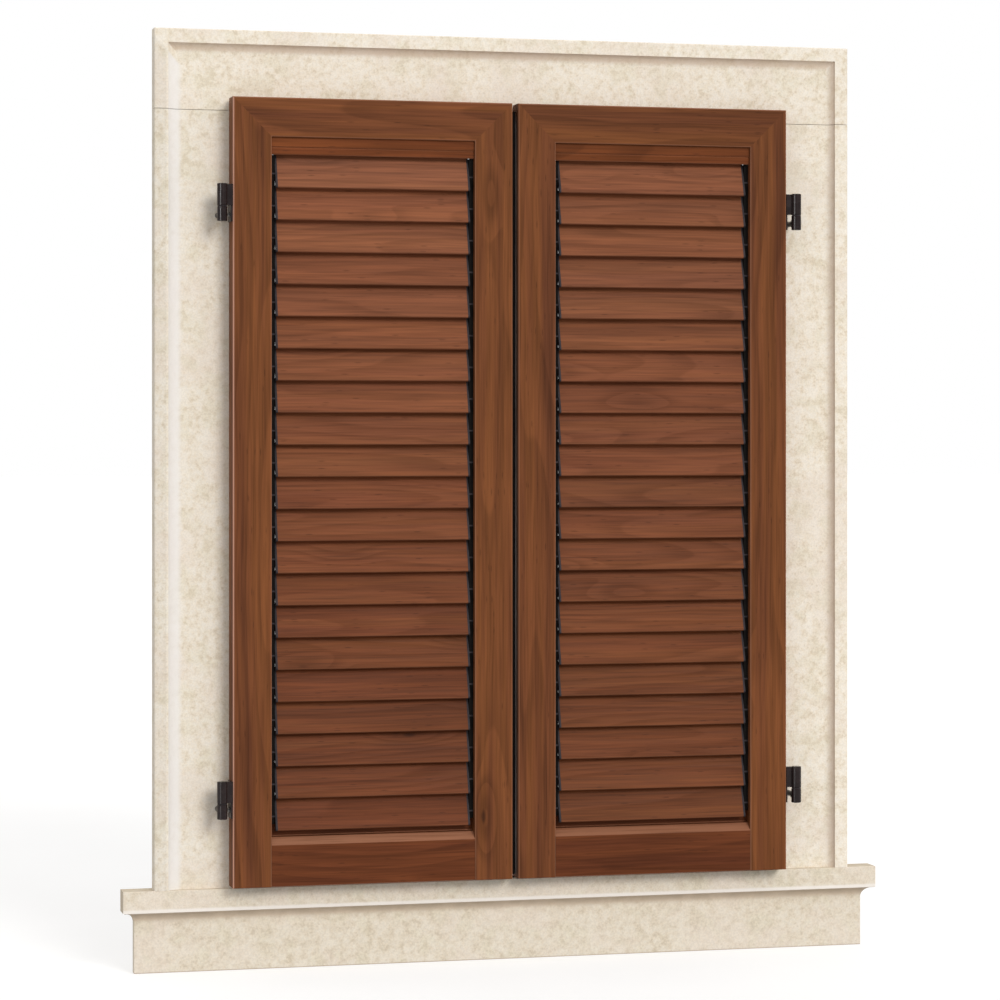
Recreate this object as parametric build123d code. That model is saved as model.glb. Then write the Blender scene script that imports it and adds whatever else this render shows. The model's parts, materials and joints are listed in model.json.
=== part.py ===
"""Pair of louvred window shutters in a moulded stone surround.

Frame: +Z up, +X to the right seen from outside, +Y into the wall.
y = 0 is the wall plane behind the stones, z = 0 is the underside of the sill, x = 0 is the
middle of the opening.  All lengths are in millimetres.
"""
import os
from math import cos, radians, sin, sqrt

from build123d import *

# ---------------------------------------------------------------- driving dimensions
# leaves
LEAF_W = 510.0          # one leaf, hinge edge to meeting edge
LEAF_H = 1400.0
LEAF_T = 45.0
MEET_GAP = 10.6         # between the two meeting edges
LEAF_BACK = -66.0       # y of the back face of the closed leaves
LEAF_Z0 = 154.0         # underside of the leaves
PROFILE_W = 70.0        # face width of the stiles and of the top rail
PROFILE_WALL = 2.2
PROFILE_R = 3.0         # rounding of the profile's long edges

# bottom rail (weathered top), heights above the leaf's underside
RAIL_FACE_H = 74.0
RAIL_SLOPE_H = 13.0
RAIL_SLOPE_D = 15.0
RAIL_LEDGE_D = 25.0     # ledge behind the slope, up to the upstand
RAIL_TOP_H = 110.0      # upstand behind the lowest slat
RAIL_SETBACK = 1.0

# slats
SLAT_N = 21
SLAT_PITCH = 57.1
SLAT_W = 65.0
SLAT_T = 8.0
SLAT_R = 3.0
SLAT_WALL = 1.2
SLAT_TILT = 72.0        # from horizontal, lower edge outside
SLAT_LOW = 98.0         # lowest point of the lowest slat above the leaf's underside
SLAT_INSET = 4.5        # slat front behind the leaf's front face
CAP_T = 3.5             # end plug plate
CAP_GAP = 8.0           # plug plate to stile, filled by the carrier
CARRIER_T = 7.7         # dark strip on the stile, slotted for the plug tabs
CARRIER_D0, CARRIER_D1 = 14.0, 40.0   # behind the leaf's front face
CAP_PLUG = 12.0
TAB_W, TAB_T, TAB_IN = 16.0, 4.0, 6.0

# closing strip under the top rail
STRIP_H = 31.0
STRIP_SET_1 = 6.0       # upper step behind the leaf's front face
STRIP_SET_2 = 7.0       # lower step
STRIP_BACK = 14.0

# hinges
HINGE_OUT = 19.0        # hinge axis beyond the leaf's edge
HINGE_Z = (277.0, 1333.0)   # underside of each wall knuckle
KNUCKLE_R = 9.0
KNUCKLE_LOW_H = 26.0
KNUCKLE_UP_H = 39.0
WASHER_T = 1.2
WASHER_PLAY = 0.3
PIN_R = 5.0
PIN_CLEAR = 0.05
PIN_UP = 35.0           # length of pin inside the leaf knuckle
BORE_DEPTH = 36.5
STEM_R = 5.0
STEM_IN = 45.0          # stem set into the stone
NUT_AF = 14.0
NUT_T = 7.0
STRAP_T = 3.0
STRAP_D0, STRAP_D1 = 3.0, 36.0   # strap plate behind the leaf's front face
ARM_T = 10.0

# stone surround
STONE_W = 1298.0
STONE_TOP = 1676.0
FIELD_Y = -60.0
BAND_Y = -72.0
BAND_W = 25.0
COVE_W = 17.0
COVE_STEP = 2.0
OPENING_W = 1000.0
LINTEL_Z = 1534.0
JOINT_W = 0.9           # open joint line at the face of the lintel joint
JOINT_D = 5.0
ARRIS = 1.5             # worn arris of the stones
TAIL_Y = -40.0          # behind this the stones step in, to tail into the wall
TAIL_IN = 15.0

# sill
SILL_W = 1408.0
SILL_TOP = 148.4
SILL_Y = -72.0          # the slab is flush with the bands of the jambs
SILL_SLAB_H = 39.5
SILL_COVE = 19.5
SILL_LIP = 2.5
SILL_NOSE_R = 1.0
SILL_TAIL_Y = -30.0     # behind this the ends of the sill step in

# espagnolette on the back of the right leaf
ROD_X, ROD_Y = 40.3, -38.0
ROD_R = 7.0
ROD_Z0, ROD_Z1 = 173.0, 1522.0
FINGER_L, FINGER_W, FINGER_H = 32.0, 10.0, 10.0
FINGER_Z = (181.0, 1504.0)
KEEP_X, KEEP_Y, KEEP_R = 18.3, -47.5, 4.0
KEEP_T = 4.0
KEEP_LEN = 46.0
HOOK_R = 10.5
GUIDE_Z = (247.0, 567.0, 1067.0, 1447.0)
GUIDE_H = 14.0
GUIDE_R = 11.5
GUIDE_CLEAR = 0.07
HANDLE_Z = 807.0
HANDLE_Y = -18.0
HANDLE_L = 150.0
HANDLE_T = 8.0
HANDLE_PIN_R = 3.0

# small parts
BUMPER_R, BUMPER_H = 6.0, 5.6
SEAL_Z0, SEAL_Z1 = 161.0, 1540.0

# ---------------------------------------------------------------- derived
X_MEET = MEET_GAP / 2
X_HINGE = X_MEET + LEAF_W
Y_BACK = LEAF_BACK
Y_FRONT = LEAF_BACK - LEAF_T
Z0 = LEAF_Z0
Z1 = LEAF_Z0 + LEAF_H
X_IN0 = X_MEET + PROFILE_W          # inner face of the meeting stile
X_IN1 = X_HINGE - PROFILE_W         # inner face of the hinge stile
AXIS_X = X_HINGE + HINGE_OUT
AXIS_Y = Y_FRONT

TILT = radians(SLAT_TILT)
SLAT_HALF_Z = (SLAT_W / 2 - SLAT_R) * sin(TILT) + (SLAT_T / 2 - SLAT_R) * cos(TILT) + SLAT_R
SLAT_HALF_Y = (SLAT_W / 2 - SLAT_R) * cos(TILT) + (SLAT_T / 2 - SLAT_R) * sin(TILT) + SLAT_R
SLAT_Y = Y_FRONT + SLAT_INSET + SLAT_HALF_Y
SLAT_ZS = [Z0 + SLAT_LOW + SLAT_HALF_Z + SLAT_PITCH * i for i in range(SLAT_N)]


# ---------------------------------------------------------------- helpers
def block(x0, x1, y0, y1, z0, z1):
    return Pos((x0 + x1) / 2, (y0 + y1) / 2, (z0 + z1) / 2) * Box(
        abs(x1 - x0), abs(y1 - y0), abs(z1 - z0)
    )


def rod_x(y, z, x0, x1, r):
    return Pos((x0 + x1) / 2, y, z) * Rot(0, 90, 0) * Cylinder(r, abs(x1 - x0))


def rod_y(x, z, y0, y1, r):
    return Pos(x, (y0 + y1) / 2, z) * Rot(90, 0, 0) * Cylinder(r, abs(y1 - y0))


def rod_z(x, y, z0, z1, r):
    return Pos(x, y, (z0 + z1) / 2) * Cylinder(r, abs(z1 - z0))


def along_x(face, x0, x1):
    """A face drawn as (y, z), drawn out from x0 to x1."""
    return extrude(Plane.YZ.offset(x0) * face, x1 - x0, dir=(1, 0, 0))


def along_y(face, y0, y1):
    """A face drawn as (x, z), drawn out from y1 outwards to y0."""
    return extrude(Plane.XZ.offset(-y1) * face, y1 - y0, dir=(0, -1, 0))


def along_z(face, z0, z1):
    """A face drawn as (x, y), drawn out from z0 to z1."""
    return extrude(Plane.XY.offset(z0) * face, z1 - z0, dir=(0, 0, 1))


def poly(*pts):
    return Polygon(*pts, align=None)


def solids_of(items):
    out = []
    for it in items:
        out.extend(it.solids())
    return out


PARTS = {}


def add(name, *items):
    PARTS[name] = solids_of(items)


def flip(shape):
    return mirror(shape, about=Plane.YZ)


# ---------------------------------------------------------------- stone surround
half = STONE_W / 2
stone = block(-half, half, BAND_Y, 0, SILL_TOP, STONE_TOP)
arris = [
    e for e in stone.edges()
    if abs(e.center().Y - BAND_Y) < 0.01
    and (abs(abs(e.center().X) - half) < 0.01 or abs(e.center().Z - STONE_TOP) < 0.01)
]
stone = chamfer(arris, ARRIS)
cove_in = BAND_W + COVE_W
depth = abs(BAND_Y - FIELD_Y) - COVE_STEP       # height of the cove above the field
cove_r = (COVE_W ** 2 + depth ** 2) / (2 * depth)


def cove_mid(u_in, u_out, y_in):
    """Middle point of the hollow that rises from the field at u_in to the band at u_out."""
    cu, cy = u_in, y_in - cove_r
    mu, my = (u_in + u_out) / 2 - cu, (y_in + y_in - depth) / 2 - cy
    k = cove_r / sqrt(mu * mu + my * my)
    return cu + mu * k, cy + my * k


xa, xb = half - cove_in, half - BAND_W
ya, yb = FIELD_Y, FIELD_Y - depth
mx, my = cove_mid(xa, xb, ya)
sink_plan = make_face(
    [
        Line((-xa, ya), (xa, ya)),
        ThreePointArc((xa, ya), (mx, my), (xb, yb)),
        Line((xb, yb), (xb, -95)),
        Line((xb, -95), (-xb, -95)),
        Line((-xb, -95), (-xb, yb)),
        ThreePointArc((-xb, yb), (-mx, my), (-xa, ya)),
    ]
)
za, zb = STONE_TOP - cove_in, STONE_TOP - BAND_W
mz, mzy = cove_mid(za, zb, ya)
sink_side = make_face(
    [
        Line((ya, 60), (ya, za)),
        ThreePointArc((ya, za), (mzy, mz), (yb, zb)),
        Line((yb, zb), (-95, zb)),
        Line((-95, zb), (-95, 60)),
        Line((-95, 60), (ya, 60)),
    ]
)
sink = along_z(sink_plan, 60, STONE_TOP + 40) & along_x(sink_side, -half - 40, half + 40)
stone = stone - sink
stone = stone - block(-OPENING_W / 2, OPENING_W / 2, -95, 10, SILL_TOP - 1, LINTEL_Z)
tail = half - TAIL_IN
for side in (-1, 1):
    stone = stone - block(side * tail, side * (half + 5), TAIL_Y, 5, SILL_TOP - 5, STONE_TOP + 5)
stone = stone - block(-half - 5, half + 5, TAIL_Y, 5, STONE_TOP - TAIL_IN, STONE_TOP + 5)

lintel = stone & block(-half - 5, half + 5, -95, 5, LINTEL_Z, STONE_TOP + 5)
jamb_r = stone & block(OPENING_W / 2 - 1, half + 5, -95, 5, SILL_TOP, LINTEL_Z)
jamb_r = jamb_r - block(
    OPENING_W / 2 - 1, half + 5, BAND_Y - 5, FIELD_Y + JOINT_D, LINTEL_Z - JOINT_W, LINTEL_Z + 1
)
for hz in HINGE_Z:
    jamb_r = jamb_r - rod_y(
        AXIS_X, hz + KNUCKLE_LOW_H / 2, FIELD_Y - 1, FIELD_Y + STEM_IN + 0.5, STEM_R + 0.1
    )
jamb_l = flip(jamb_r)

# sill: the moulding of the front returns round both ends
slab_z = SILL_TOP - SILL_SLAB_H
sw = SILL_W / 2
back_off = SILL_COVE + SILL_LIP
nose_r = SILL_NOSE_R
top_front = SILL_TOP
front_y = SILL_Y
apron_y = SILL_Y + back_off
k45 = sqrt(0.5)
sill_front = make_face(
    [
        Line((0, 0), (apron_y + ARRIS, 0)),
        Line((apron_y + ARRIS, 0), (apron_y, ARRIS)),
        Line((apron_y, ARRIS), (apron_y, slab_z - SILL_COVE)),
        ThreePointArc(
            (apron_y, slab_z - SILL_COVE),
            (apron_y - SILL_COVE + SILL_COVE * k45, slab_z - SILL_COVE + SILL_COVE * k45),
            (apron_y - SILL_COVE, slab_z),
        ),
        Line((apron_y - SILL_COVE, slab_z), (front_y, slab_z + 1.0)),
        Line((front_y, slab_z + 1.0), (front_y, top_front - nose_r)),
        ThreePointArc(
            (front_y, top_front - nose_r),
            (front_y + nose_r - nose_r * k45, top_front - nose_r + nose_r * k45),
            (front_y + nose_r, top_front),
        ),
        Line((front_y + nose_r, top_front), (0, SILL_TOP)),
        Line((0, SILL_TOP), (0, 0)),
    ]
)
aw = sw - back_off
sill_end = make_face(
    [
        Line((-aw, 0), (aw, 0)),
        Line((aw, 0), (aw, slab_z - SILL_COVE)),
        ThreePointArc(
            (aw, slab_z - SILL_COVE),
            (aw + SILL_COVE - SILL_COVE * k45, slab_z - SILL_COVE + SILL_COVE * k45),
            (aw + SILL_COVE, slab_z),
        ),
        Line((aw + SILL_COVE, slab_z), (sw, slab_z + 1.0)),
        Line((sw, slab_z + 1.0), (sw, SILL_TOP)),
        Line((sw, SILL_TOP), (-sw, SILL_TOP)),
        Line((-sw, SILL_TOP), (-sw, slab_z + 1.0)),
        Line((-sw, slab_z + 1.0), (-aw - SILL_COVE, slab_z)),
        ThreePointArc(
            (-aw - SILL_COVE, slab_z),
            (-aw - SILL_COVE + SILL_COVE * k45, slab_z - SILL_COVE + SILL_COVE * k45),
            (-aw, slab_z - SILL_COVE),
        ),
        Line((-aw, slab_z - SILL_COVE), (-aw, 0)),
    ]
)
sill = along_x(sill_front, -sw - 5, sw + 5) & along_y(sill_end, SILL_Y - 10, 5)
for side in (-1, 1):
    sill = sill - block(side * tail, side * (sw + 5), SILL_TAIL_Y, 5, -5, SILL_TOP + 5)

add("stone_jamb_left", jamb_l)
add("stone_jamb_right", jamb_r)

# ---------------------------------------------------------------- wall side of the hinges
pintles, nuts, washers = [], [], []
for hz in HINGE_Z:
    zc = hz + KNUCKLE_LOW_H / 2
    knuckle = chamfer(
        Cylinder(KNUCKLE_R, KNUCKLE_LOW_H).edges().filter_by(GeomType.CIRCLE), 0.8
    )
    pintle = Pos(AXIS_X, AXIS_Y, zc) * knuckle
    pin_top = hz + KNUCKLE_LOW_H + WASHER_T + WASHER_PLAY + PIN_UP
    pin_len = pin_top - zc
    pin = Cylinder(PIN_R, pin_len)
    pin = chamfer(pin.edges().filter_by(GeomType.CIRCLE).sort_by(Axis.Z)[-1], 1.0)
    pintle += Pos(AXIS_X, AXIS_Y, zc + pin_len / 2) * pin
    pintle += rod_y(AXIS_X, zc, AXIS_Y, FIELD_Y + STEM_IN, STEM_R)
    pintles.append(pintle)
    hexa = RegularPolygon(NUT_AF / 2 / cos(radians(30)), 6)
    nut_y = AXIS_Y + KNUCKLE_R + 0.2
    nut = along_y(Pos(AXIS_X, zc) * hexa, nut_y, nut_y + NUT_T)
    nut = nut - rod_y(AXIS_X, zc, nut_y - 1, nut_y + NUT_T + 1, STEM_R + 0.05)
    nuts.append(nut)
    wz = hz + KNUCKLE_LOW_H
    washers.append(
        rod_z(AXIS_X, AXIS_Y, wz, wz + WASHER_T, KNUCKLE_R - 0.6)
        - rod_z(AXIS_X, AXIS_Y, wz - 1, wz + WASHER_T + 1, PIN_R + 0.1)
    )
add("wall_pintles", *pintles, *[flip(p) for p in pintles])
add("pintle_nuts", *nuts, *[flip(p) for p in nuts])
add("hinge_washers", *washers, *[flip(p) for p in washers])

# rubber stops between the stones and the closed leaves
stops = []
for bx, bz in ((60.0, LINTEL_Z + 10.0), (OPENING_W / 2 + 8.0, 197.0)):
    stop = Cylinder(BUMPER_R, BUMPER_H)
    stop = fillet(stop.edges().filter_by(GeomType.CIRCLE).sort_by(Axis.Z)[-1], 1.2)
    stop = Pos(bx, FIELD_Y - BUMPER_H / 2, bz) * Rot(90, 0, 0) * stop
    stops += [stop, flip(stop)]
add("stop_bumpers", *stops)

# ---------------------------------------------------------------- leaf (drawn as the right one)
cx_m = X_MEET + PROFILE_W / 2
cx_h = X_HINGE - PROFILE_W / 2
cy = (Y_FRONT + Y_BACK) / 2
outer = RectangleRounded(PROFILE_W, LEAF_T, PROFILE_R)
inner = Rectangle(PROFILE_W - 2 * PROFILE_WALL, LEAF_T - 2 * PROFILE_WALL)
tube = outer - inner
E = 5.0     # overshoot of the cutting shapes


def mitre(pts):
    return along_y(poly(*pts), Y_FRONT - E, Y_BACK + E)


meeting = along_z(Pos(cx_m, cy) * tube, Z0, Z1)
meeting = meeting - mitre(
    [(X_MEET - E, Z1 + E), (X_IN0 + E, Z1 - PROFILE_W - E), (X_IN0 + E, Z1 + E)]
)
hinge_stile = along_z(Pos(cx_h, cy) * tube, Z0, Z1)
hinge_stile = hinge_stile - mitre(
    [(X_HINGE + E, Z1 + E), (X_IN1 - E, Z1 + E), (X_IN1 - E, Z1 - PROFILE_W - E)]
)
top_tube = Rot(0, 0, 90) * tube                 # drawn as (y, z)
top_rail = along_x(Pos(cy, Z1 - PROFILE_W / 2) * top_tube, X_MEET, X_HINGE)
top_rail = top_rail - mitre(
    [(X_MEET - E, Z1 + E), (X_MEET - E, Z1 - PROFILE_W - E), (X_IN0 + E, Z1 - PROFILE_W - E)]
)
top_rail = top_rail - mitre(
    [(X_HINGE + E, Z1 + E), (X_IN1 - E, Z1 - PROFILE_W - E), (X_HINGE + E, Z1 - PROFILE_W - E)]
)

# sockets in both stiles for the tabs of the slats' end plugs
tab_hole = Rectangle(TAB_W, TAB_T + 0.2)
for z in SLAT_ZS:
    sock = Pos(SLAT_Y, z) * Rot(0, 0, SLAT_TILT) * tab_hole
    meeting = meeting - along_x(sock, X_IN0 - PROFILE_WALL - 1, X_IN0 + 1)
    hinge_stile = hinge_stile - along_x(sock, X_IN1 - 1, X_IN1 + PROFILE_WALL + 1)

# bottom rail with a weathered top
rf = Y_FRONT + RAIL_SETBACK
rail_pts = [
    (rf, Z0),
    (rf, Z0 + RAIL_FACE_H),
    (Y_FRONT + RAIL_SLOPE_D, Z0 + RAIL_FACE_H + RAIL_SLOPE_H),
    (Y_FRONT + RAIL_LEDGE_D, Z0 + RAIL_FACE_H + RAIL_SLOPE_H + 1.0),
    (Y_FRONT + RAIL_LEDGE_D, Z0 + RAIL_TOP_H),
    (Y_BACK, Z0 + RAIL_TOP_H),
    (Y_BACK, Z0),
]
w = PROFILE_WALL
rail_face = poly(*rail_pts)
rail_face = fillet(rail_face.vertices(), 2.0)
rail_hole = poly(
    (rf + w, Z0 + w),
    (rf + w, Z0 + RAIL_FACE_H - w),
    (Y_FRONT + RAIL_SLOPE_D, Z0 + RAIL_FACE_H + RAIL_SLOPE_H - 2 * w),
    (Y_BACK - w, Z0 + RAIL_FACE_H + RAIL_SLOPE_H - 2 * w),
    (Y_BACK - w, Z0 + w),
)
bottom_rail = along_x(rail_face - rail_hole, X_IN0, X_IN1)

# closing strip with a shallow groove, under the top rail
zt = Z1 - PROFILE_W
zl = zt - STRIP_H
s1, s2, s3 = Y_FRONT + STRIP_SET_1, Y_FRONT + STRIP_SET_2, Y_FRONT + STRIP_BACK
strip = along_x(
    poly(
        (s1, zt),
        (s1, zt - 16.5),
        (s2 + 0.8, zt - 17.5),
        (s2 + 0.8, zt - 18.5),
        (s2, zt - 19.3),
        (s2, zl + 1.5),
        (s2 + 1.5, zl),
        (s3, zl),
        (s3, zt),
    ),
    X_IN0,
    X_IN1,
)

# dark strips on the inner faces of the stiles, slotted for the tabs of the slats' end plugs
cz0, cz1 = Z0 + RAIL_TOP_H + 0.2, zl - 0.2
carrier_m = block(X_IN0, X_IN0 + CARRIER_T, Y_FRONT + CARRIER_D0, Y_FRONT + CARRIER_D1, cz0, cz1)
carrier_h = block(X_IN1 - CARRIER_T, X_IN1, Y_FRONT + CARRIER_D0, Y_FRONT + CARRIER_D1, cz0, cz1)
for z in SLAT_ZS:
    sock = Pos(SLAT_Y, z) * Rot(0, 0, SLAT_TILT) * tab_hole
    carrier_m = carrier_m - along_x(sock, X_IN0 - 1, X_IN0 + CARRIER_T + 1)
    carrier_h = carrier_h - along_x(sock, X_IN1 - CARRIER_T - 1, X_IN1 + 1)

# slats, each a hollow flat oval with a plug in both ends
def slat_section(inset):
    return RectangleRounded(SLAT_W - 2 * inset, SLAT_T - 2 * inset, SLAT_R - inset)


blade_face = slat_section(0) - slat_section(SLAT_WALL)
bx0 = X_IN0 + CAP_GAP + CAP_T
bx1 = X_IN1 - CAP_GAP - CAP_T
plate_face = slat_section(0)
plug_face = slat_section(SLAT_WALL + 0.3)
tab_face = Rectangle(TAB_W, TAB_T)
place = Pos(SLAT_Y, 0) * Rot(0, 0, SLAT_TILT)
blade = along_x(place * blade_face, bx0, bx1)
cap_lo = (
    along_x(place * plate_face, bx0 - CAP_T, bx0)
    + along_x(place * plug_face, bx0, bx0 + CAP_PLUG)
    + along_x(place * tab_face, X_IN0 - PROFILE_WALL - TAB_IN, bx0 - CAP_T)
)
cap_hi = (
    along_x(place * plate_face, bx1, bx1 + CAP_T)
    + along_x(place * plug_face, bx1 - CAP_PLUG, bx1)
    + along_x(place * tab_face, bx1 + CAP_T, X_IN1 + PROFILE_WALL + TAB_IN)
)
slats = [Pos(0, 0, z) * blade for z in SLAT_ZS]
caps = [Pos(0, 0, z) * c for z in SLAT_ZS for c in (cap_lo, cap_hi)]

# corner cleats in the mitred corners
ix0, ix1, iz = X_MEET + w, X_HINGE - w, Z1 - w
CL, CT = 80.0, 10.0
cleat_m = along_y(
    poly((ix0, iz), (ix0, iz - CL), (ix0 + CT, iz - CL), (ix0 + CT, iz - CT),
         (ix0 + CL, iz - CT), (ix0 + CL, iz)),
    Y_FRONT + w, Y_BACK - w,
)
cleat_h = along_y(
    poly((ix1, iz), (ix1, iz - CL), (ix1 - CT, iz - CL), (ix1 - CT, iz - CT),
         (ix1 - CL, iz - CT), (ix1 - CL, iz)),
    Y_FRONT + w, Y_BACK - w,
)

# blocks that carry the bottom rail between the stiles
br_m = block(X_IN0, X_IN0 + 12, Y_FRONT + 8, Y_BACK - 8, Z0 + w, Z0 + 62)
br_h = block(X_IN1 - 12, X_IN1, Y_FRONT + 8, Y_BACK - 8, Z0 + w, Z0 + 62)

# plugs in the lower ends of the stiles
pl_m = block(X_MEET + w, X_IN0 - w, Y_FRONT + w, Y_BACK - w, Z0, Z0 + 12)
pl_h = block(X_IN1 + w, X_HINGE - w, Y_FRONT + w, Y_BACK - w, Z0, Z0 + 12)

# leaf side of the hinges: knuckle, arm and the plate on the leaf's edge
straps, strap_screws = [], []
for hz in HINGE_Z:
    k0 = hz + KNUCKLE_LOW_H + WASHER_T + WASHER_PLAY
    k1 = k0 + KNUCKLE_UP_H
    knuckle = chamfer(
        Cylinder(KNUCKLE_R, KNUCKLE_UP_H).edges().filter_by(GeomType.CIRCLE), 0.8
    )
    strap = Pos(AXIS_X, AXIS_Y, (k0 + k1) / 2) * knuckle
    strap += block(X_HINGE, AXIS_X, AXIS_Y, AXIS_Y + ARM_T, k0 + 0.8, k1 - 0.8)
    strap += block(
        X_HINGE, X_HINGE + STRAP_T, Y_FRONT + STRAP_D0, Y_FRONT + STRAP_D1, hz, k1 - 0.8
    )
    strap = strap - rod_z(AXIS_X, AXIS_Y, k0 - 1, k0 + BORE_DEPTH, PIN_R + PIN_CLEAR)
    for sz in (hz + 13.0, hz + 52.0):
        sy = Y_FRONT + 24.0
        hole = rod_x(sy, sz, X_HINGE - PROFILE_WALL - 1, X_HINGE + STRAP_T + 1, 2.5)
        strap = strap - hole
        hinge_stile = hinge_stile - hole
        head = Cylinder(4.6, 2.6)
        head = fillet(head.edges().filter_by(GeomType.CIRCLE).sort_by(Axis.Z)[-1], 1.2)
        screw = Pos(X_HINGE + STRAP_T + 1.3, sy, sz) * Rot(0, 90, 0) * head
        screw += rod_x(sy, sz, X_HINGE - 14, X_HINGE + STRAP_T + 0.5, 2.4)
        strap_screws.append(screw)
    straps.append(strap)

# ---------------------------------------------------------------- closing hardware on the back
# guides and the holes for their screws
guides, guide_screws = [], []
meeting_r = meeting
for gz in GUIDE_Z:
    g = block(ROD_X - 19, ROD_X + 19, Y_BACK, Y_BACK + 3, gz - 9, gz + 9)
    g = fillet(g.edges().filter_by(Axis.Y), 3.0)
    g += block(ROD_X - 4, ROD_X + 4, Y_BACK, ROD_Y, gz - GUIDE_H / 2, gz + GUIDE_H / 2)
    g += rod_z(ROD_X, ROD_Y, gz - GUIDE_H / 2, gz + GUIDE_H / 2, GUIDE_R)
    g = g - rod_z(ROD_X, ROD_Y, gz - 20, gz + 20, ROD_R + GUIDE_CLEAR)
    for sx in (ROD_X - 13.5, ROD_X + 13.5):
        hole = rod_y(sx, gz, Y_BACK - PROFILE_WALL - 1, Y_BACK + 4, 2.1)
        g = g - hole
        meeting_r = meeting_r - hole
        head = Cylinder(3.8, 2.2)
        head = fillet(head.edges().filter_by(GeomType.CIRCLE).sort_by(Axis.Z)[-1], 1.0)
        screw = Pos(sx, Y_BACK + 3 + 1.1, gz) * Rot(-90, 0, 0) * head
        screw += rod_y(sx, gz, Y_BACK - 14, Y_BACK + 3.5, 2.0)
        guide_screws.append(screw)
    guides.append(g)

# turning rod; on it two hooks at the ends, two collars and the fork of the handle
rod = rod_z(ROD_X, ROD_Y, ROD_Z0, ROD_Z1, ROD_R)
rod = chamfer(rod.edges().filter_by(GeomType.CIRCLE), 1.0)
on_rod = rod_z(ROD_X, ROD_Y, ROD_Z0 - 50, ROD_Z1 + 50, ROD_R + 0.02)
hooks, collars = [], []
for fz in FINGER_Z:
    hook = rod_z(ROD_X, ROD_Y, fz, fz + FINGER_H, HOOK_R)
    hook += block(
        ROD_X - FINGER_W / 2, ROD_X + FINGER_W / 2,
        ROD_Y, ROD_Y + FINGER_L - FINGER_W / 2, fz, fz + FINGER_H,
    )
    hook += rod_z(ROD_X, ROD_Y + FINGER_L - FINGER_W / 2, fz, fz + FINGER_H, FINGER_W / 2)
    hooks.append(hook - on_rod)
for c0 in (GUIDE_Z[1] + GUIDE_H / 2 + 0.4, GUIDE_Z[1] - GUIDE_H / 2 - 0.4 - 6):
    collars.append(rod_z(ROD_X, ROD_Y, c0, c0 + 6, 10.0) - on_rod)
fork = rod_z(ROD_X, ROD_Y, HANDLE_Z - 13, HANDLE_Z + 13, 10.0)
fork += block(ROD_X - 9, ROD_X + 9, ROD_Y, HANDLE_Y, HANDLE_Z - 10, HANDLE_Z + 10)
fork += rod_x(HANDLE_Y, HANDLE_Z, ROD_X - 9, ROD_X + 9, 10.0)
fork = fork - block(
    ROD_X - HANDLE_T / 2 - 0.4, ROD_X + HANDLE_T / 2 + 0.4,
    HANDLE_Y - 9.0, HANDLE_Y + 20, HANDLE_Z - 20, HANDLE_Z + 20,
)
fork = fork - rod_x(HANDLE_Y, HANDLE_Z, ROD_X - 20, ROD_X + 20, HANDLE_PIN_R) - on_rod

# hinge pin of the handle, headed at both ends
pin = rod_x(HANDLE_Y, HANDLE_Z, ROD_X - 9, ROD_X + 9, HANDLE_PIN_R)
pin += rod_x(HANDLE_Y, HANDLE_Z, ROD_X - 10.5, ROD_X - 9, 5.0)
pin += rod_x(HANDLE_Y, HANDLE_Z, ROD_X + 9, ROD_X + 10.5, 5.0)

# handle, hanging
handle = rod_x(HANDLE_Y, HANDLE_Z, ROD_X - HANDLE_T / 2, ROD_X + HANDLE_T / 2, 8.0)
handle += block(
    ROD_X - HANDLE_T / 2, ROD_X + HANDLE_T / 2, HANDLE_Y - 5, HANDLE_Y + 5,
    HANDLE_Z - HANDLE_L + 12, HANDLE_Z,
)
handle += Pos(ROD_X, HANDLE_Y, HANDLE_Z - HANDLE_L + 8) * Sphere(9.5)
handle = handle - rod_x(HANDLE_Y, HANDLE_Z, ROD_X - 20, ROD_X + 20, HANDLE_PIN_R + 0.05)

# keepers in the lintel and on the sill: a screwed plate with a riveted pin
plates, keep_pins, keep_screws = [], [], []
for face_z, up in ((LINTEL_Z, -1), (SILL_TOP, 1)):
    plate = block(KEEP_X - 15, KEEP_X + 39, -56, -24, face_z, face_z + up * KEEP_T)
    plate = fillet(plate.edges().filter_by(Axis.Z), 4.0)
    for sx in (KEEP_X + 12, KEEP_X + 32):
        plate = plate - rod_z(sx, -32, face_z - 1 * up, face_z + up * (KEEP_T + 1), 2.2)
        hole = rod_z(sx, -32, face_z - up * 26, face_z + up, 2.2)
        if up < 0:
            lintel = lintel - hole
        else:
            sill = sill - hole
        head = rod_z(sx, -32, face_z + up * KEEP_T, face_z + up * (KEEP_T + 2.0), 3.8)
        keep_screws.append(head + rod_z(sx, -32, face_z - up * 24, face_z + up * (KEEP_T + 1), 2.0))
    plates.append(plate)
    keep_pins.append(rod_z(KEEP_X, KEEP_Y, face_z + up * KEEP_T, face_z + up * KEEP_LEN, KEEP_R))
add("keeper_plates", *plates)
add("keeper_pins", *keep_pins)
add("keeper_screws", *keep_screws)
add("stone_lintel", lintel)
add("stone_sill", sill)

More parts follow.
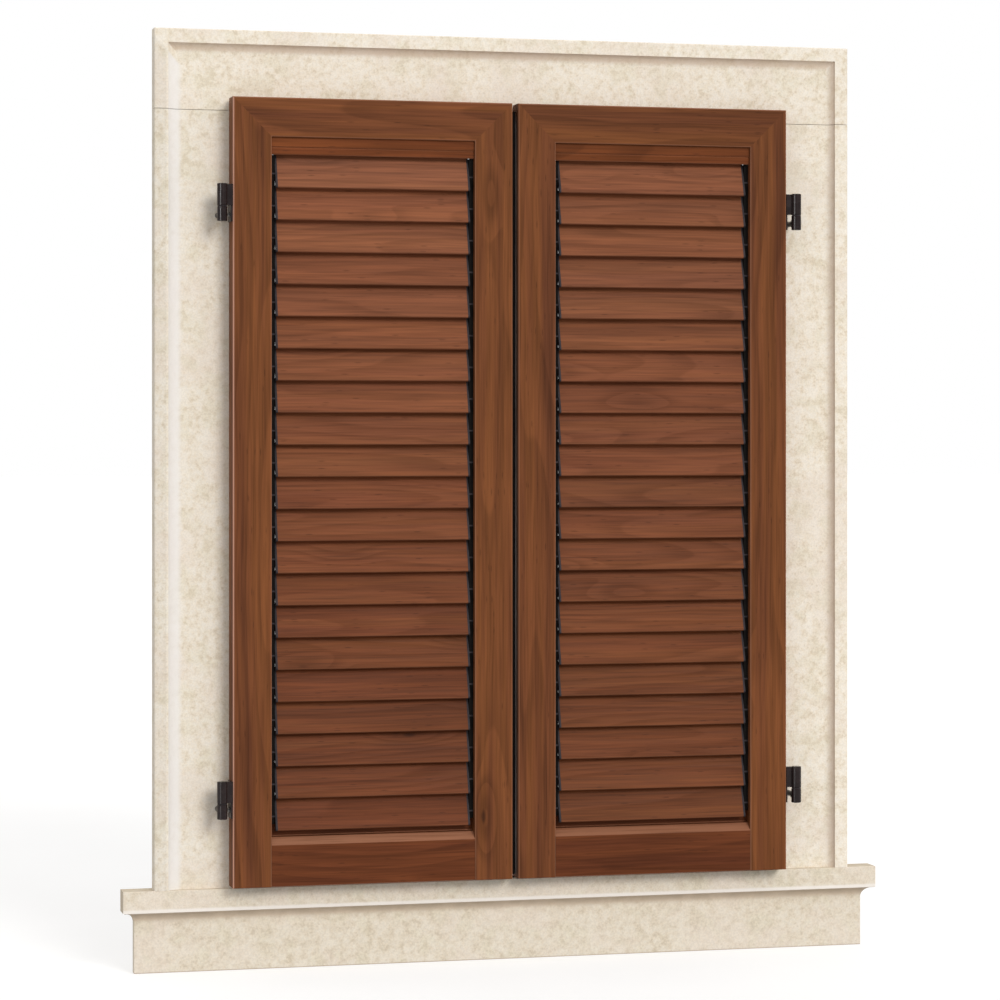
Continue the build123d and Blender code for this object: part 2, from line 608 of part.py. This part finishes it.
# catch for the handle on the left leaf
meeting_l = flip(meeting)
cxx = -cx_m
catch = block(cxx - 14, cxx + 14, Y_BACK, Y_BACK + 3, HANDLE_Z - 56, HANDLE_Z + 18)
catch = fillet(catch.edges().filter_by(Axis.Y), 4.0)
catch += block(cxx - 8, cxx + 8, Y_BACK, -28, HANDLE_Z - 22, HANDLE_Z - 15)
catch += block(cxx - 8, cxx + 8, -33, -28, HANDLE_Z - 22, HANDLE_Z + 4)
catch_screws = []
for sz in (HANDLE_Z - 46.0, HANDLE_Z - 33.0, HANDLE_Z + 8.0):
    hole = rod_y(cxx, sz, Y_BACK - PROFILE_WALL - 1, Y_BACK + 4, 2.1)
    catch = catch - hole
    meeting_l = meeting_l - hole
    head = Cylinder(3.8, 2.2)
    head = fillet(head.edges().filter_by(GeomType.CIRCLE).sort_by(Axis.Z)[-1], 1.0)
    screw = Pos(cxx, Y_BACK + 3 + 1.1, sz) * Rot(-90, 0, 0) * head
    screw += rod_y(cxx, sz, Y_BACK - 14, Y_BACK + 3.5, 2.0)
    catch_screws.append(screw)

# seal on the left meeting edge
seal_face = Pos(-X_MEET + 1, -88) * Rectangle(2.0, 24.0) + Pos(-X_MEET + 4.8, -91) * RectangleRounded(6.8, 16.0, 3.0)
seal = along_z(seal_face, SEAL_Z0, SEAL_Z1)

# ---------------------------------------------------------------- the two leaves
leaf = {
    "hinge_stile": [hinge_stile],
    "top_rail": [top_rail],
    "bottom_rail": [bottom_rail],
    "closing_strip": [strip],
    "slats": slats,
    "slat_plugs": caps,
    "slat_carriers": [carrier_m, carrier_h],
    "corner_cleats": [cleat_m, cleat_h],
    "rail_blocks": [br_m, br_h],
    "stile_plugs": [pl_m, pl_h],
    "hinge_straps": straps,
    "strap_screws": strap_screws,
}
for key, items in leaf.items():
    add("right_" + key, *items)
    add("left_" + key, *[flip(i) for i in items])
add("right_meeting_stile", meeting_r)
add("left_meeting_stile", meeting_l)
add("meeting_seal", seal)
add("handle_catch", catch)
add("catch_screws", *catch_screws)
add("rod_guides", *guides)
add("guide_screws", *guide_screws)
add("espagnolette_rod", rod)
add("rod_hooks", *hooks)
add("rod_collars", *collars)
add("handle_fork", fork)
add("handle_pin", pin)
add("espagnolette_handle", handle)

os.makedirs("parts", exist_ok=True)
for name, solids in PARTS.items():
    shape = solids[0] if len(solids) == 1 else Compound(solids)
    export_step(shape, f"parts/{name}.step")
    print(name, len(solids), round(sum(s.volume for s in solids)))
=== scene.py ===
import json
import math

import bpy
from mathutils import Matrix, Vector

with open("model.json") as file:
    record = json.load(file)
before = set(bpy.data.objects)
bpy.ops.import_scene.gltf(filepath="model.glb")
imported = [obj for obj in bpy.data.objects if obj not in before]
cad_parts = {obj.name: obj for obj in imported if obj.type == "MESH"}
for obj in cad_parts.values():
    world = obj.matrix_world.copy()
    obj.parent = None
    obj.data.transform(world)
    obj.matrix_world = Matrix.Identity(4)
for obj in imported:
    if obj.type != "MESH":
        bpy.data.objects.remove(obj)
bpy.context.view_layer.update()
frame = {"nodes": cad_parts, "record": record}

NODES = frame["nodes"]
SLOT = {s["node"]: s["material_slot"] for s in frame["record"]["subparts"]}

# Slat geometry, used to give every slat its own piece of figure.
SLAT_TILT = math.radians(72.0)
SLAT_PITCH = 0.0571
SLAT_Y = -0.0934
SLAT_Z = 0.154 + 0.098 + 0.0314


# ------------------------------------------------------------------ node helper
class Graph:
    def __init__(self, name):
        self.mat = bpy.data.materials.new(name)
        self.mat.use_nodes = True
        self.tree = self.mat.node_tree
        self.tree.nodes.clear()
        self.out = self.add("ShaderNodeOutputMaterial")
        self.bsdf = self.add("ShaderNodeBsdfPrincipled")
        self.tree.links.new(self.bsdf.outputs["BSDF"], self.out.inputs["Surface"])

    def add(self, kind, **props):
        n = self.tree.nodes.new(kind)
        for k, v in props.items():
            setattr(n, k, v)
        return n

    def put(self, value, socket):
        if isinstance(value, bpy.types.NodeSocket):
            self.tree.links.new(value, socket)
        else:
            socket.default_value = value

    def math(self, op, a, b=None, c=None, clamp=False):
        n = self.add("ShaderNodeMath", operation=op, use_clamp=clamp)
        for i, v in enumerate((a, b, c)):
            if v is not None:
                self.put(v, n.inputs[i])
        return n.outputs[0]

    def mul(self, a, b):
        return self.math("MULTIPLY", a, b)

    def plus(self, a, b):
        return self.math("ADD", a, b)

    def minus(self, a, b):
        return self.math("SUBTRACT", a, b)

    def span(self, v, a, b, lo=0.0, hi=1.0, smooth=True):
        n = self.add("ShaderNodeMapRange", interpolation_type="SMOOTHSTEP" if smooth else "LINEAR", clamp=True)
        self.put(v, n.inputs["Value"])
        for key, val in (("From Min", a), ("From Max", b), ("To Min", lo), ("To Max", hi)):
            self.put(val, n.inputs[key])
        return n.outputs["Result"]

    def where(self):
        return self.add("ShaderNodeTexCoord").outputs["Object"]

    def facing(self):
        """Surface direction in the piece's own axes, so that it turns with the piece."""
        return self.split(self.add("ShaderNodeTexCoord").outputs["Normal"])

    def split(self, vec):
        n = self.add("ShaderNodeSeparateXYZ")
        self.put(vec, n.inputs[0])
        return n.outputs[0], n.outputs[1], n.outputs[2]

    def join(self, x, y, z):
        n = self.add("ShaderNodeCombineXYZ")
        for i, v in enumerate((x, y, z)):
            self.put(v, n.inputs[i])
        return n.outputs[0]

    def stretch(self, uvw, k):
        return self.join(*(self.mul(c, f) for c, f in zip(uvw, k)))

    def noise(self, vec, scale=1.0, detail=2.0, rough=0.5, lac=2.0, warp=0.0):
        n = self.add("ShaderNodeTexNoise")
        self.put(vec, n.inputs["Vector"])
        for key, val in (("Scale", scale), ("Detail", detail), ("Roughness", rough), ("Lacunarity", lac), ("Distortion", warp)):
            n.inputs[key].default_value = val
        return n.outputs["Fac"]

    def cells(self, vec, scale=1.0, feature="F1"):
        n = self.add("ShaderNodeTexVoronoi", feature=feature)
        self.put(vec, n.inputs["Vector"])
        n.inputs["Scale"].default_value = scale
        return n.outputs["Distance"], n.outputs["Color"]

    def ramp(self, fac, stops, mode="LINEAR"):
        n = self.add("ShaderNodeValToRGB")
        r = n.color_ramp
        r.interpolation = mode
        while len(r.elements) < len(stops):
            r.elements.new(0.5)
        for e, (at, col) in zip(r.elements, stops):
            e.position = at
            e.color = (*col, 1.0) if len(col) == 3 else col
        self.put(fac, n.inputs["Fac"])
        return n.outputs["Color"]

    def mix(self, fac, a, b, how="MIX"):
        n = self.add("ShaderNodeMix", data_type="RGBA", blend_type=how)
        self.put(fac, n.inputs[0])
        for v, s in ((a, n.inputs[6]), (b, n.inputs[7])):
            self.put((*v, 1.0) if isinstance(v, tuple) and len(v) == 3 else v, s)
        return n.outputs[2]

    def shade(self, col, fac):
        """Colour times a grey factor."""
        return self.mix(1.0, col, self.join(fac, fac, fac), "MULTIPLY")

    def bump(self, height, depth, below=None, strength=1.0):
        n = self.add("ShaderNodeBump")
        n.inputs["Strength"].default_value = strength
        n.inputs["Distance"].default_value = depth
        self.put(height, n.inputs["Height"])
        if below is not None:
            self.put(below, n.inputs["Normal"])
        return n.outputs["Normal"]

    def finish(self, color=None, rough=None, normal=None, **fixed):
        for key, val in (("Base Color", color), ("Roughness", rough), ("Normal", normal)):
            if val is not None:
                self.put((*val, 1.0) if isinstance(val, tuple) and len(val) == 3 else val, self.bsdf.inputs[key])
        for key, val in fixed.items():
            self.bsdf.inputs[key.replace("_", " ")].default_value = val
        return self.mat


# ------------------------------------------------------------------ wood-grain coating
RED = (0.215, 0.060, 0.0250)
ORANGE = (0.232, 0.086, 0.0290)


def wood(name, along, seed, dark, mid, warm, rings, edge, slat=False, lit_edge=0.0):
    """Grain runs along one axis; the figure is cut from contour lines of a stretched noise, so it closes into long
    ovals and arches as sawn boards do, and bends round small knots."""
    g = Graph(name)
    x, y, z = g.split(g.where())
    nx, ny, nz = g.facing()
    tint = None
    if slat:
        c, s = math.cos(SLAT_TILT), math.sin(SLAT_TILT)
        chord = g.plus(g.mul(y, c), g.mul(z, s))
        deep = g.plus(g.mul(y, -s), g.mul(z, c))
        deep0 = -s * SLAT_Y + c * SLAT_Z
        index = g.math("ROUND", g.math("DIVIDE", g.minus(deep, deep0), SLAT_PITCH * c))
        own = g.add("ShaderNodeTexWhiteNoise", noise_dimensions="1D")
        g.put(g.plus(index, 17.3 * seed), own.inputs["W"])
        tint = g.split(own.outputs["Color"])
        u = g.plus(x, g.mul(tint[0], 40.0))
        v = g.plus(chord, g.mul(tint[1], 9.0))
        w = deep
    elif along == "z":
        u, v, w = g.plus(z, 3.1 * seed), g.plus(x, 1.7 * seed), y
    else:
        u, v, w = g.plus(x, 3.1 * seed), g.plus(z, 1.7 * seed), y

    # small knots, few and far apart
    kd, kc = g.cells(g.stretch((u, v, w), (3.4, 11.0, 4.0)))
    has = g.span(g.split(kc)[0], 0.52, 0.58)
    core = g.mul(has, g.span(kd, 0.015, 0.06, 1.0, 0.0))
    halo = g.mul(has, g.span(kd, 0.03, 0.36, 1.0, 0.0))

    # slow waver of the fibres, growth rings, streaks and fibres
    sway = g.minus(g.noise(g.stretch((u, v, w), (3.0, 10.0, 10.0)), 1.0, 1.0), 0.5)
    vv = g.plus(v, g.mul(sway, 0.013))
    field = g.noise(g.stretch((u, vv, w), (1.1, 10.0, 10.0)), 1.0, 1.0)
    phase = g.plus(g.plus(g.mul(field, 7.0 * rings), g.mul(vv, 20.0 * rings)), g.mul(halo, 1.6))
    ring = g.math("FRACT", phase)
    late = g.mul(g.span(ring, 0.25, 0.90), g.span(ring, 0.91, 1.0, 1.0, 0.0))
    broad = g.noise(g.stretch((u, vv, w), (0.9, 34.0, 34.0)), 1.0, 2.0, 0.6)
    fibre = g.noise(g.stretch((u, vv, w), (6.0, 230.0, 230.0)), 1.0, 2.0, 0.6)

    pore = g.noise(g.stretch((u, v, w), (9.0, 300.0, 300.0)), 1.0, 1.0)
    fd, fc = g.cells(g.stretch((u, vv, w), (36.0, 230.0, 230.0)))
    fleck = g.mul(g.span(fd, 0.10, 0.36, 1.0, 0.0), g.span(g.split(fc)[0], 0.84, 0.88))

    col = g.ramp(broad, ((0.33, dark), (0.46, mid), (0.58, warm), (0.72, mid)))
    light = g.mul(g.span(late, 0.0, 1.0, 1.04, 0.88 if slat else 0.82, smooth=False), g.span(fibre, 0.25, 0.75, 0.84, 1.15))
    light = g.mul(light, g.span(sway, -0.25, 0.25, 0.96, 1.04))
    light = g.mul(light, g.span(pore, 0.30, 0.56, 0.88, 1.04))
    light = g.mul(light, g.span(halo, 0.0, 1.0, 1.0, 0.84))
    if tint:
        light = g.mul(light, g.span(tint[1], 0.0, 1.0, 0.94, 1.06, smooth=False))
        # painted light: the slats are painted darker towards the bottom and paler and pinker towards the top, a painted
        # gradient of light and sheen
        light = g.mul(light, g.span(z, 0.50, 1.48, 0.74, 1.05, smooth=False))
        col = g.mix(g.span(z, 0.55, 1.50, 0.0, 0.17, smooth=False), col, (0.34, 0.19, 0.13))
        col = g.mix(g.span(tint[2], 0.0, 1.0, 0.0, 0.30, smooth=False), col, RED)
        col = g.mix(g.span(tint[0], 0.0, 1.0, 0.0, 0.22, smooth=False), col, ORANGE)
    col = g.shade(col, light)
    col = g.mix(g.mul(fleck, 0.40), col, (0.045, 0.016, 0.008))
    col = g.mix(g.mul(core, 0.7), col, (0.030, 0.011, 0.006))

    # painted highlight: the rounded edges and the bottom rail's bevel are painted paler, broken up by the fibre; on the
    # left hinge stile a paler line is also painted down the left-facing rounded edges
    turn, face = (nx, ny) if along == "z" else (nz, ny)
    if slat:
        turn, face = g.plus(g.mul(ny, c), g.mul(nz, s)), g.minus(g.mul(nz, c), g.mul(ny, s))
    edge_highlight = g.span(g.math("ABSOLUTE", g.mul(turn, face)), 0.16, 0.46)
    edge_highlight = g.mul(edge_highlight, g.span(fibre, 0.2, 0.6, 0.55, 1.0))
    col = g.mix(g.mul(edge_highlight, edge), col, (0.36, 0.165, 0.095))
    if lit_edge:
        col = g.mix(g.mul(g.span(g.mul(nx, ny), 0.08, 0.36), lit_edge), col, (0.56, 0.30, 0.22))

    rough = g.plus(g.span(fibre, 0.2, 0.8, 0.40, 0.50), g.mul(late, 0.05))
    return g.finish(col, rough, g.bump(pore, 0.00012, strength=0.35), Specular_IOR_Level=0.05)


# ------------------------------------------------------------------ stone
def stone(name, seed, base, light, tan, sill=False):
    g = Graph(name)
    x, y, z = g.split(g.where())
    nx, ny, nz = g.facing()
    p = g.join(g.plus(x, 4.7 * seed), g.plus(y, 2.3 * seed), g.plus(z, 1.9 * seed))
    cloud = g.noise(p, 10.0, 1.0)
    patch = g.noise(p, 27.0, 1.0)
    mottle = g.noise(p, 84.0, 3.0, 0.72)
    grainy = g.noise(p, 330.0, 1.0)
    flake_d, flake_c = g.cells(p, 125.0)
    flake = g.mul(g.span(flake_d, 0.10, 0.34, 1.0, 0.0), g.span(g.split(flake_c)[1], 0.78, 0.86))

    col = g.ramp(g.plus(g.mul(mottle, 0.75), g.mul(patch, 0.25)), ((0.36, tan), (0.47, base), (0.59, light)))
    col = g.mix(g.span(cloud, 0.46, 0.66, 0.0, 0.40), col, (0.830, 0.725, 0.630))
    col = g.mix(g.span(patch, 0.32, 0.50, 0.26, 0.0), col, (0.790, 0.745, 0.590))
    col = g.shade(col, g.span(grainy, 0.3, 0.7, 0.945, 1.035))
    col = g.mix(g.mul(flake, 0.30), col, (0.56, 0.46, 0.33))

    # painted shade: faces turned downward are painted with a brown shade
    underside_shade = g.span(g.mul(nz, -1.0), 0.08, 0.45)
    col = g.mix(g.mul(underside_shade, 0.55), col, (0.74, 0.56, 0.42))
    if not sill:
        # painted highlight: the cove of the left jamb is painted paler
        left = g.mul(g.span(x, -0.6250, -0.6230), g.span(x, -0.6080, -0.5960, 1.0, 0.0))
        left = g.mul(left, g.mul(g.span(g.plus(z, x), 1.0080, 1.0160, 1.0, 0.0), g.span(y, -0.0580, -0.0500, 1.0, 0.0)))
        col = g.mix(g.mul(left, 0.78), col, (0.890, 0.865, 0.845))
        # painted shade: the cove of the right jamb, which faces left, is painted darker
        right = g.mul(g.span(nx, -0.30, -0.06, 1.0, 0.0), g.span(x, 0.6090, 0.6230))
        right = g.mul(right, g.span(x, 0.6250, 0.6300, 1.0, 0.0))
        col = g.mix(g.mul(right, 0.65), col, (0.62, 0.48, 0.37))
        # the raised outer band of the left jamb is made about 9 per cent darker than the rest
        band = g.mul(g.span(x, -0.6300, -0.6250, 1.0, 0.0), g.span(g.plus(z, x), 1.0080, 1.0160, 1.0, 0.0))
        col = g.shade(col, g.span(band, 0.0, 1.0, 1.0, 0.91, smooth=False))
    if sill:
        # painted shade: brown shade painted in the hollow under the slab's nose
        cove_shade = g.mul(g.span(z, 0.0800, 0.1060), g.span(y, -0.0700, -0.0640))
        cove_shade = g.mul(cove_shade, g.span(patch, 0.30, 0.62, 0.25, 0.60))
        col = g.mix(cove_shade, col, (0.53, 0.43, 0.31))
        # painted highlight: a pale line painted along the lower edge of the slab's nose
        nose_highlight = g.mul(g.span(z, 0.1082, 0.1092), g.span(z, 0.1135, 0.1180, 1.0, 0.0))
        nose_highlight = g.mul(nose_highlight, g.span(y, -0.0705, -0.0650, 1.0, 0.0))
        col = g.mix(g.mul(nose_highlight, 0.8), col, (0.93, 0.88, 0.83))

    n = g.bump(mottle, 0.0008, strength=0.25)
    return g.finish(col, g.span(grainy, 0.3, 0.7, 0.74, 0.88), n, Specular_IOR_Level=0.18)


# ------------------------------------------------------------------ metals, plastic, rubber
def iron(name):
    g = Graph(name)
    p = g.where()
    peel = g.noise(p, 900.0, 1.0)
    haze = g.noise(p, 60.0, 2.0)
    rub = g.span(g.noise(p, 240.0, 2.0, 0.65), 0.60, 0.78)
    col = g.ramp(haze, ((0.3, (0.010, 0.005, 0.005)), (0.7, (0.018, 0.009, 0.009))))
    col = g.mix(g.mul(rub, 0.30), col, (0.055, 0.034, 0.032))
    n = g.bump(peel, 0.00006, strength=0.08)
    return g.finish(col, g.span(haze, 0.3, 0.7, 0.22, 0.30), n, Specular_IOR_Level=0.22)


def plastic(name, low, high, r0, r1, gloss):
    g = Graph(name)
    p = g.where()
    spark = g.noise(p, 1500.0, 1.0)
    haze = g.noise(p, 90.0, 2.0)
    col = g.ramp(haze, ((0.3, low), (0.7, high)))
    return g.finish(col, g.span(haze, 0.3, 0.7, r0, r1), g.bump(spark, 0.00006, strength=0.6), Specular_IOR_Level=gloss)


def rubber(name):
    g = Graph(name)
    p = g.where()
    dust = g.noise(p, 300.0, 2.0)
    col = g.ramp(dust, ((0.35, (0.005, 0.004, 0.004)), (0.75, (0.012, 0.010, 0.009))))
    return g.finish(col, g.span(dust, 0.3, 0.7, 0.70, 0.86), g.bump(dust, 0.0001, strength=0.4), Specular_IOR_Level=0.02)


def bare_metal(name, tone, stretch, r0, r1):
    g = Graph(name)
    x, y, z = g.split(g.where())
    line = g.noise(g.stretch((x, y, z), stretch), 1.0, 3.0)
    haze = g.noise(g.join(x, y, z), 70.0, 2.0)
    col = g.ramp(haze, ((0.3, tuple(0.86 * t for t in tone)), (0.7, tone)))
    n = g.bump(line, 0.00004, strength=0.5)
    return g.finish(col, g.span(line, 0.3, 0.7, r0, r1), n, Metallic=1.0)


PROFILE = dict(dark=(0.124, 0.041, 0.0175), mid=(0.167, 0.056, 0.0210), warm=(0.186, 0.064, 0.0215), edge=0.55)
# the bottom rails get darker wood: partly their cross grain, partly painted shade
RAIL_DARK = dict(dark=(0.104, 0.030, 0.0125), mid=(0.132, 0.038, 0.0150), warm=(0.147, 0.043, 0.0155), edge=0.60)
STRIP = dict(dark=(0.140, 0.038, 0.0126), mid=(0.158, 0.044, 0.0141), warm=(0.167, 0.048, 0.0143), edge=0.35)
SLATS = dict(dark=(0.165, 0.050, 0.0207), mid=(0.205, 0.062, 0.0252), warm=(0.226, 0.0725, 0.0268), edge=0.25)


def tone(kit, f):
    return {k: tuple(f * c for c in v) if isinstance(v, tuple) else v for k, v in kit.items()}


MATS = {}
for i, side in enumerate(("left_", "right_")):
    MATS[side + "hinge_stile"] = wood("wood_" + side + "hinge_stile", "z", 1 + i * 6, rings=1.0, lit_edge=0.85 * (1 - i), **PROFILE)
    MATS[side + "meeting_stile"] = wood("wood_" + side + "meeting_stile", "z", 2 + i * 6, rings=1.0, **PROFILE)
    MATS[side + "top_rail"] = wood("wood_" + side + "top_rail", "x", 3 + i * 6, rings=1.1, **tone(PROFILE, (1.11, 0.95)[i]))
    MATS[side + "bottom_rail"] = wood("wood_" + side + "bottom_rail", "x", 4 + i * 6, rings=1.2,
                                       **dict(tone(RAIL_DARK, (0.95, 0.92)[i]), edge=(0.76, 0.62)[i]))
    MATS[side + "closing_strip"] = wood("wood_" + side + "closing_strip", "x", 5 + i * 6, rings=1.3, **tone(STRIP, (1.14, 0.92)[i]))
    MATS[side + "slats"] = wood("wood_" + side + "slats", "x", 2 + i * 3, rings=1.7, slat=True, **tone(SLATS, (1.0, 0.96)[i]))

STONE = dict(base=(0.840, 0.757, 0.630), light=(0.885, 0.822, 0.722), tan=(0.715, 0.615, 0.475))
SILL = dict(base=(0.765, 0.675, 0.545), light=(0.815, 0.740, 0.625), tan=(0.655, 0.560, 0.430))
for i, n in enumerate(("stone_lintel", "stone_jamb_left", "stone_jamb_right", "stone_sill")):
    MATS[n] = stone("mat_" + n, i + 1, sill=(i == 3), **(SILL if i == 3 else tone(STONE, (1.03, 1.0, 1.05)[i])))

BY_SLOT = {
    "dark_iron": iron("dark_iron_paint"),
    "dark_plastic": plastic("charcoal_plastic", (0.030, 0.025, 0.028), (0.048, 0.041, 0.045), 0.55, 0.68, 0.08),
    "black_plastic": plastic("black_plastic", (0.005, 0.004, 0.004), (0.009, 0.008, 0.007), 0.66, 0.80, 0.06),
    "rubber": rubber("black_rubber"),
    "bare_aluminium": bare_metal("mill_aluminium", (0.74, 0.74, 0.75), (12.0, 600.0, 600.0), 0.28, 0.46),
    "screw_steel": bare_metal("dark_screw_steel", (0.24, 0.23, 0.22), (500.0, 500.0, 500.0), 0.26, 0.40),
}
for name, obj in NODES.items():
    mat = MATS.get(name) or BY_SLOT[SLOT[name]]
    obj.data.materials.clear()
    obj.data.materials.append(mat)

# ------------------------------------------------------------------ floor, world, lights, camera
g = Graph("studio_floor")
soft = g.noise(g.where(), 3.0, 2.0)
g.finish(g.ramp(soft, ((0.3, (0.55, 0.55, 0.55)), (0.7, (0.57, 0.57, 0.57)))), g.span(soft, 0.3, 0.7, 0.80, 0.86), Specular_IOR_Level=0.0,
         Emission_Color=(1.0, 1.0, 1.0, 1.0), Emission_Strength=0.52)
half = 60.0
floor_mesh = bpy.data.meshes.new("studio_floor")
floor_mesh.from_pydata([(-half, -half, -0.0004), (half, -half, -0.0004), (half, half, -0.0004), (-half, half, -0.0004)], [], [(0, 1, 2, 3)])
floor = bpy.data.objects.new("studio_floor", floor_mesh)
bpy.context.scene.collection.objects.link(floor)
floor_mesh.materials.append(g.mat)
floor.visible_diffuse = False

scene = bpy.context.scene
world = bpy.data.worlds.new("studio")
scene.world = world
world.use_nodes = True
wt = world.node_tree
wt.nodes.clear()
w_out = wt.nodes.new("ShaderNodeOutputWorld")
w_mix = wt.nodes.new("ShaderNodeMixShader")
w_sky = wt.nodes.new("ShaderNodeBackground")
w_white = wt.nodes.new("ShaderNodeBackground")
w_path = wt.nodes.new("ShaderNodeLightPath")
w_geo = wt.nodes.new("ShaderNodeTexCoord")
w_sep = wt.nodes.new("ShaderNodeSeparateXYZ")
w_map = wt.nodes.new("ShaderNodeMapRange")
wt.links.new(w_geo.outputs["Generated"], w_sep.inputs[0])
wt.links.new(w_sep.outputs["Z"], w_map.inputs["Value"])
for key, val in (("From Min", -0.5), ("From Max", 0.9), ("To Min", 0.46), ("To Max", 0.88)):
    w_map.inputs[key].default_value = val
w_sky.inputs["Color"].default_value = (1.0, 0.99, 0.975, 1.0)
wt.links.new(w_map.outputs["Result"], w_sky.inputs["Strength"])
w_white.inputs["Color"].default_value = (1.0, 1.0, 1.0, 1.0)
w_white.inputs["Strength"].default_value = 1.0
wt.links.new(w_path.outputs["Is Camera Ray"], w_mix.inputs["Fac"])
wt.links.new(w_sky.outputs["Background"], w_mix.inputs[1])
wt.links.new(w_white.outputs["Background"], w_mix.inputs[2])
wt.links.new(w_mix.outputs["Shader"], w_out.inputs["Surface"])


def aim(obj, target):
    obj.rotation_euler = (Vector(target) - obj.location).to_track_quat("-Z", "Y").to_euler()


sun_data = bpy.data.lights.new("key", "SUN")
sun_data.energy = 1.40
sun_data.angle = math.radians(22.0)
sun_data.color = (1.0, 0.985, 0.96)
sun = bpy.data.objects.new("key", sun_data)
sun.location = (1.67, -5.13, 3.43)
scene.collection.objects.link(sun)
aim(sun, (0.0, 0.0, 0.8))

# tall box at the left that only shows in reflections: it draws the light line down the rounded edges
strip_data = bpy.data.lights.new("edge_strip", "AREA")
strip_data.shape = "RECTANGLE"
strip_data.size, strip_data.size_y = 0.7, 3.2
strip_data.energy = 130.0
strip = bpy.data.objects.new("edge_strip", strip_data)
strip.location = (-3.3, -2.6, 1.2)
strip.visible_diffuse = False
scene.collection.objects.link(strip)
aim(strip, (0.0, -0.1, 0.9))

cam_data = bpy.data.cameras.new("view")
cam_data.sensor_width = 36.0
cam_data.sensor_fit = "HORIZONTAL"
cam_data.lens = 36.0 * 3194.6 / 1000.0
cam_data.shift_x = -0.0015
cam_data.shift_y = -0.0691
cam_data.clip_end = 400.0
cam = bpy.data.objects.new("view", cam_data)
cam.location = (-1.4199, -5.7003, 0.9625)
yaw = math.radians(14.0)
cam.rotation_euler = (math.radians(90.0), 0.0, -yaw)
scene.collection.objects.link(cam)
scene.camera = cam

scene.cycles.max_bounces = 5
scene.cycles.diffuse_bounces = 2
scene.cycles.glossy_bounces = 2
scene.view_settings.view_transform = "Standard"
scene.view_settings.look = "None"
